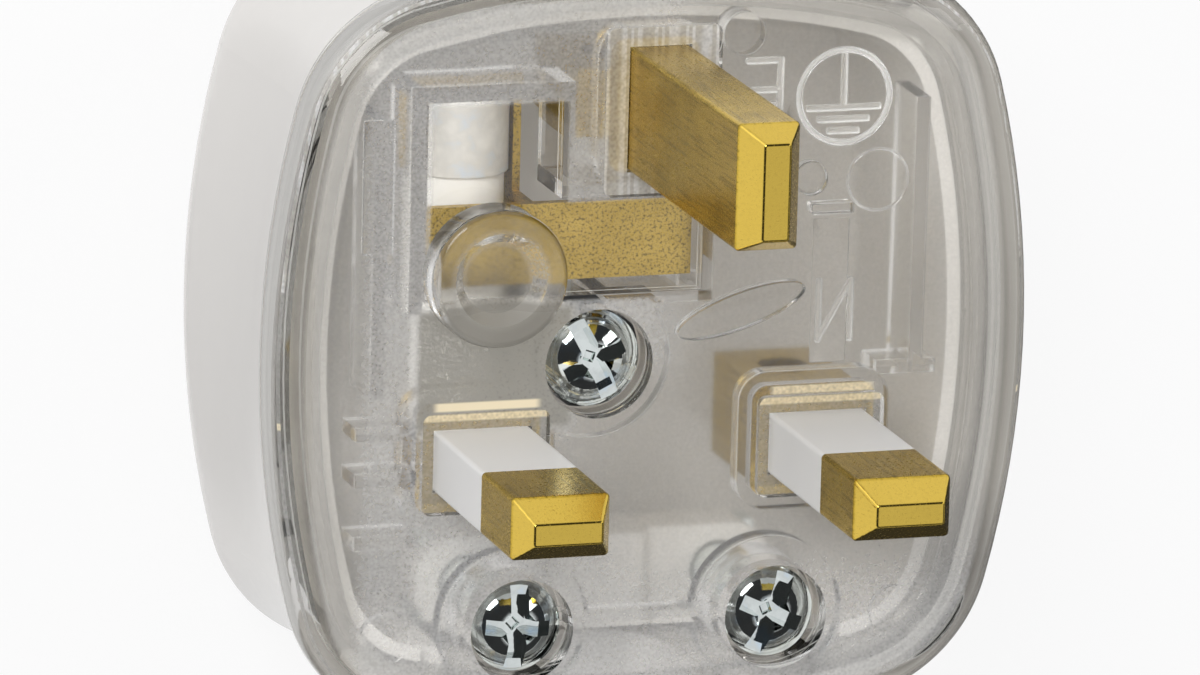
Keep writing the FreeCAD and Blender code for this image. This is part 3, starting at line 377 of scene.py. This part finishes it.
def white_plastic(name, colour, roughness):
    """Moulded white plastic with a soft gloss and the faint waviness of a moulding."""
    finish = Finish(name)
    cloud = finish.noise(60.0, 2.0)
    grain = finish.noise(2600.0, 4.0, 0.6)
    tint = finish.blend(cloud, (*[c * 0.975 for c in colour], 1.0), (*colour, 1.0))
    normal = finish.bump(finish.noise(45.0, 1.0), 0.06, 0.0005)
    normal = finish.bump(grain, 0.04, 0.00002, normal)
    shader = finish.surface(Base_Color=tint, Roughness=roughness + (grain - 0.5) * 0.08, IOR=1.5,
                            Normal=normal)
    return finish.end(shader)


def brass(name, pale, deep, along, roughness, polish_and_sheen=None, speckle=0.4):
    """Brass with fine marks, drawn along an axis if one is given, small pits and dull tarnish.

    Above a height over the face, where one is given, it is polished, the milled tip of a pin, and
    its colour is painted paler as a highlight.
    """
    finish = Finish(name)
    stretch = [0.06 if axis == along else 1.0 for axis in "xyz"]
    lines = finish.noise(5200.0, 3.0, 0.6, stretch)
    patches = finish.noise(420.0, 4.0, 0.6)
    pits = finish.noise(6500.0, 2.0, 0.5).above(0.63, 0.04)
    colour = finish.ramp(patches, [(0.3, deep), (0.68, pale)])
    rough = roughness + (patches - 0.5) * 0.12
    specks = pits * 0.3 + lines.below(0.43, 0.07) * speckle
    colour = finish.blend(specks, colour, (*[c * 0.35 for c in deep], 1.0))
    if polish_and_sheen is not None:
        tip = finish.place()[2].above(FACE + polish_and_sheen, 0.08)
        # the tip's paler colour is a painted highlight; its lower roughness is its real polish
        colour = finish.blend(tip * 0.8, colour, TIP_BRASS_SHEEN)
        rough = rough - tip * 0.07
    normal = finish.bump(lines, 0.08, 0.00003)
    normal = finish.bump(patches, 0.05, 0.00006, normal)
    shader = finish.surface(Base_Color=colour, Metallic=1.0, Roughness=rough + pits * 0.15,
                            Normal=normal)
    return finish.end(shader)


def plated_steel(name, colour, roughness, metallic=1.0):
    """Bright plated metal with fine marks and faint blue patches."""
    finish = Finish(name)
    patches = finish.noise(700.0, 3.0)
    fine = finish.noise(4000.0, 3.0)
    tint = finish.ramp(patches, [(0.35, colour), (0.55, [c * 0.86 for c in colour]),
                                 (0.72, (colour[0] * 0.8, colour[1] * 0.88, colour[2]))])
    normal = finish.bump(fine, 0.1, 0.00003)
    shader = finish.surface(Base_Color=tint, Metallic=metallic,
                            Roughness=roughness + (patches - 0.5) * 0.12, Normal=normal)
    return finish.end(shader)


def ceramic():
    """White fired ceramic with a fine grain."""
    finish = Finish("fuse_ceramic")
    grain = finish.noise(1500.0, 3.0)
    tint = finish.blend(grain, (0.98, 0.97, 0.94, 1.0), (0.94, 0.93, 0.9, 1.0))
    shader = finish.surface(Base_Color=tint, Roughness=0.35 + (grain - 0.5) * 0.1,
                            Normal=finish.bump(grain, 0.05, 0.00003))
    return finish.end(shader)


def dark_plastic():
    """Matt black plastic."""
    finish = Finish("retainer_plastic")
    grain = finish.noise(1800.0, 3.0)
    tint = finish.blend(grain, (0.06, 0.06, 0.06, 1.0), (0.09, 0.09, 0.09, 1.0))
    return finish.end(finish.surface(Base_Color=tint, Roughness=0.6 + grain * 0.1))


def select_only(piece):
    bpy.ops.object.select_all(action="DESELECT")
    piece.select_set(True)
    bpy.context.view_layer.objects.active = piece


def settle(piece):
    """Moves a piece's place, turn and scale into its mesh."""
    select_only(piece)
    bpy.ops.object.transform_apply(location=True, rotation=True, scale=True)
    return piece


def round_edges(piece, width, segments=2):
    bevel = piece.modifiers.new("edge_rounding", "BEVEL")
    bevel.width = width * MM
    bevel.segments = segments
    bevel.limit_method = "ANGLE"
    select_only(piece)
    bpy.ops.object.modifier_apply(modifier=bevel.name)
    return piece


def raised_box(x, y, width, height, rise, turn=0.0):
    """A low box on the back of the clear face, sunk a little into it."""
    bpy.ops.object.select_all(action="DESELECT")
    level = PLATE_BACK - rise / 2 + SINK / 2
    bpy.ops.mesh.primitive_cube_add(size=1.0, location=(x * MM, y * MM, level * MM),
                                    rotation=(0, 0, turn))
    box = bpy.context.object
    box.scale = (width * MM, height * MM, (rise + SINK) * MM)
    return round_edges(settle(box), min(EDGE_ROUNDING, rise * 0.4))


def stroke(start, end):
    """A raised bar between two places."""
    run = Vector(end) - Vector(start)
    middle = (Vector(end) + Vector(start)) / 2
    return raised_box(middle.x, middle.y, run.length + STROKE, STROKE, MARK_HEIGHT,
                      math.atan2(run.y, run.x))


def raised_round(x, y, radius, rise, stretch=1.0, turn=0.0):
    """A low round pad, or an oval one where it is stretched."""
    bpy.ops.object.select_all(action="DESELECT")
    level = PLATE_BACK - rise / 2 + SINK / 2
    bpy.ops.mesh.primitive_cylinder_add(vertices=64, radius=radius * MM,
                                        depth=(rise + SINK) * MM, rotation=(0, 0, turn),
                                        location=(x * MM, y * MM, level * MM))
    pad = bpy.context.object
    pad.scale = (stretch, 1.0, 1.0)
    return round_edges(settle(pad), min(0.3, rise * 0.5), 3)


def ring(centre, radius, thickness):
    bpy.ops.object.select_all(action="DESELECT")
    bpy.ops.mesh.primitive_torus_add(location=(centre[0] * MM, centre[1] * MM, PLATE_BACK * MM),
                                     major_radius=radius * MM, minor_radius=thickness / 2 * MM,
                                     major_segments=96, minor_segments=12)
    return bpy.context.object


def at(centre, *places):
    """Places given about a centre."""
    return [(centre[0] + u, centre[1] + v) for u, v in places]


def mould_details():
    """The earth sign, N and E, which read the right way round from inside, and low pads."""
    w, h = LETTER_SIZE[0] / 2, LETTER_SIZE[1] / 2
    details = [settle(ring(EARTH_SIGN, EARTH_RING, STROKE)), settle(ring(MOULD_CIRCLE, 2.0, 0.16))]
    details += [stroke(*at(EARTH_SIGN, start, end)) for start, end in EARTH_STROKES]
    for start, end in (((-w, -h), (-w, h)), ((-w, -h), (w, h)), ((w, h), (w, -h))):
        details.append(stroke(*at(NEUTRAL_LETTER, start, end)))
    for start, end in (((w, -h), (w, h)), ((w, h), (-w, h)), ((w, 0), (-w, 0)),
                       ((w, -h), (-w, -h))):
        details.append(stroke(*at(EARTH_LETTER, start, end)))
    details.append(raised_round(*PEG, 1.15, 0.9))
    details.append(raised_round(*LEAF, 1.25, 1.0, 3.6, math.radians(18)))
    details += [raised_box(*panel) for panel in PANELS]
    return details


def copy_node(name, new_name):
    """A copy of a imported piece, ready to be worked on, in place of that piece."""
    select_only(NODES[name])
    bpy.ops.object.duplicate()
    piece = bpy.context.object
    piece.name = new_name
    bpy.ops.mesh.customdata_custom_splitnormals_clear()
    bpy.ops.object.mode_set(mode="EDIT")
    bpy.ops.mesh.select_all(action="SELECT")
    bpy.ops.mesh.remove_doubles(threshold=0.0000005)
    bpy.ops.object.mode_set(mode="OBJECT")
    return piece


def combine(piece, tool, operation):
    """Joins a tool's shape to a piece or cuts it away, and uses the tool up."""
    change = piece.modifiers.new("shaping", "BOOLEAN")
    change.operation = operation
    change.solver = "EXACT"
    change.object = tool
    select_only(piece)
    bpy.ops.object.modifier_apply(modifier=change.name)
    select_only(tool)
    bpy.ops.object.delete()


def finish_copy(piece, node, finish, angle=30):
    piece.data.materials.clear()
    piece.data.materials.append(finish)
    select_only(piece)
    bpy.ops.object.shade_smooth_by_angle(angle=math.radians(angle))
    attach(piece, "root")
    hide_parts(node)


def finish_front(finish):
    """The clear base with its low moulded details joined on."""
    details = mould_details()
    front = copy_node("front_base", "clear_front")
    for detail in details:
        combine(front, detail, "UNION")
    finish_copy(front, "front_base", finish)


def finish_screw(node, turn, finish):
    """A case screw with its head domed and a tapered centre to its cross recess."""
    low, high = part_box(node)
    x, y, top = (low[0] + high[0]) / 2, (low[1] + high[1]) / 2, high[2]
    radius = (high[0] - low[0]) / 2
    screw = copy_node(node, node + "_head")
    bpy.ops.object.select_all(action="DESELECT")
    bpy.ops.mesh.primitive_uv_sphere_add(segments=96, ring_count=48, radius=DOME * MM,
                                         location=(x, y, top - DOME * MM))
    dome = settle(bpy.context.object)
    bpy.ops.object.select_all(action="DESELECT")
    bpy.ops.mesh.primitive_cylinder_add(vertices=96, radius=radius * 1.3, depth=4 * MM,
                                        location=(x, y, top))
    cutter = settle(bpy.context.object)
    combine(cutter, dome, "DIFFERENCE")
    combine(screw, cutter, "DIFFERENCE")
    bpy.ops.object.select_all(action="DESELECT")
    bpy.ops.mesh.primitive_cone_add(vertices=4, radius1=0.3 * MM, radius2=1.75 * MM, depth=1.9 * MM,
                                    location=(x, y, top - 0.9 * MM), rotation=(0, 0, turn))
    combine(screw, settle(bpy.context.object), "DIFFERENCE")
    finish_copy(screw, node, finish, 24)


def dress_nodes():
    """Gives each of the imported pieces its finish."""
    white = (0.785, 0.761, 0.731)
    steel = plated_steel("screw_steel", (0.88, 0.93, 0.91), 0.05)
    strip = brass("strip_brass", PALE_STRIP, DEEP_STRIP, "", 0.36, speckle=0.9)
    live = brass("live_pin_brass", PALE_BRASS, DEEP_BRASS, "z", 0.25, LIVE_POLISH_AND_SHEEN)
    earth = brass("earth_pin_brass", PALE_BRASS, DEEP_BRASS, "z", 0.25, EARTH_POLISH_AND_SHEEN)
    nickel = plated_steel("fuse_cap_nickel", (0.86, 0.84, 0.80), 0.45, 0.35)
    finishes = {
        "front_base": clear_plastic(),
        "rear_cover": white_plastic("white_plastic", white, 0.2),
        "earth_pin": earth, "neutral_pin": live, "line_pin": live, "line_terminal_block": strip,
        "neutral_pin_sleeve": white_plastic("sleeve_plastic", (0.84, 0.83, 0.815), 0.42),
        "fuse_barrel": ceramic(),
        "fuse_cap_upper": nickel, "fuse_cap_lower": nickel, "fuse_element": nickel,
        "line_fuse_clip": strip, "line_terminal_strap": strip, "cover_screw_insert": strip,
        "cover_screw_retainer": dark_plastic(),
        "cord_clamp_bar": white_plastic("clamp_plastic", white, 0.4),
    }
    finishes["line_pin_sleeve"] = finishes["neutral_pin_sleeve"]
    for name, node in NODES.items():
        node.data.materials.clear()
        node.data.materials.append(finishes.get(name, steel))
    finish_front(finishes["front_base"])
    for node, turn in SCREW_TURNS.items():
        finish_screw(node, math.radians(turn), steel)


def make_floor():
    """A pale table. Dark cards at three of its sides show only in polished surfaces."""
    bpy.ops.object.select_all(action="DESELECT")
    bpy.ops.mesh.primitive_plane_add(size=3.0, location=(0, 0, 0))
    floor = bpy.context.object
    floor.name = "studio_floor"
    finish = Finish("studio_floor")
    seen, glossy, through = finish.outputs("ShaderNodeLightPath", "Is Camera Ray", "Is Glossy Ray",
                                           "Is Transmission Ray")
    matt = finish.add("ShaderNodeBsdfDiffuse", {"Color": (0.88, 0.88, 0.88, 1.0)})
    glow = finish.add("ShaderNodeEmission", {"Color": (1, 1, 1, 1), "Strength": 1.0})
    dark = finish.add("ShaderNodeBsdfDiffuse", {"Color": (0.03, 0.03, 0.03, 1.0)})
    x, y = finish.place()[:2]
    front = y.below(-35.0, 8.0) * x.above(-45.0, 8.0)
    beside = x.below(-26.0, 1.0) * x.above(-70.0, 8.0) * 0.7
    right = x.above(25.0, 8.0) * y.below(60.0, 15.0)
    card = 1 - (1 - right) * (1 - front) * (1 - beside)
    table = finish.add("ShaderNodeMixShader", [glossy * (1 - through) * card * 0.97, matt, dark])
    bright = 1 - (1 - seen) * (1 - through) * (1 - glossy * (1 - card))
    floor.data.materials.append(finish.end(finish.add("ShaderNodeMixShader",
                                                      [bright * FLOOR_GLOW, table, glow])))


def make_world():
    """A white background for the camera, and a studio that polished surfaces mirror.

    It is bright at the horizon, at the left, behind and overhead, and dark between these.
    """
    world = bpy.data.worlds.new("studio")
    bpy.context.scene.world = world
    nodes = Nodes(world)
    x, y, z = nodes.axes(nodes.add("ShaderNodeTexCoord", out="Generated"))
    seen, glossy, through = nodes.outputs("ShaderNodeLightPath", "Is Camera Ray", "Is Glossy Ray",
                                          "Is Transmission Ray")
    ceiling = (x * 0.29 - y * 0.24 + z * 0.93).above(0.88, 0.04)
    left = x.below(-0.45, 0.15) * z.below(0.45, 0.1)
    behind = y.above(0.5, 0.15) * z.below(0.4, 0.1)
    horizon = z.below(0.07, 0.05)
    mirrored = (MIRRORED_LEAST + ceiling * 0.72 + left * 0.7 + behind * 0.65
                + z.below(0.3, 0.1) * 0.25 + horizon * (1 - left) * (1 - behind) * 0.6)
    refracted = REFRACTED_LEAST + z.above(0.35, 0.25) * 0.95 + horizon * 0.75
    level = (PLAIN_LEVEL + glossy * (1 - through) * (mirrored - PLAIN_LEVEL)
             + through * (refracted - PLAIN_LEVEL))
    room = nodes.add("ShaderNodeBackground", {"Color": (0.97, 0.98, 1.0, 1.0), "Strength": level})
    white = nodes.add("ShaderNodeBackground", {"Color": (1, 1, 1, 1), "Strength": 1.0})
    nodes.end(nodes.add("ShaderNodeMixShader", [seen, room, white]), "ShaderNodeOutputWorld")


def lamp(name, place, aim, size, power):
    """A softbox that faces a point."""
    data = bpy.data.lights.new(name, "AREA")
    data.shape = "RECTANGLE"
    data.size, data.size_y = size
    data.energy = power
    light = bpy.data.objects.new(name, data)
    bpy.context.scene.collection.objects.link(light)
    light.location = place
    light.rotation_euler = (Vector(aim) - Vector(place)).to_track_quat("-Z", "Y").to_euler()


def make_camera():
    """The camera stands where the photo was taken from: over the line pin's side."""
    data = bpy.data.cameras.new("camera")
    data.sensor_width = 36.0
    data.lens = CAMERA_LENS
    data.clip_start, data.clip_end = 0.01, 10.0
    camera = bpy.data.objects.new("camera", data)
    bpy.context.scene.collection.objects.link(camera)
    right, upward = Vector(CAMERA_RIGHT), Vector(CAMERA_UP)
    back = right.cross(upward)
    turn = Matrix((right, upward, back)).transposed().to_4x4()
    camera.matrix_world = Matrix.Translation(CAMERA_PLACE) @ turn
    bpy.context.scene.camera = camera


dress_nodes()
make_floor()
make_world()
lamp("key_softbox", (-0.42, 0.45, 0.60), (0, 0, 0.02), (0.4, 0.4), 3.5)
lamp("side_softbox", (0.50, 0.25, 0.45), (0, 0, 0.02), (0.15, 0.5), 0.5)
make_camera()
bpy.context.scene.view_settings.view_transform = "Standard"
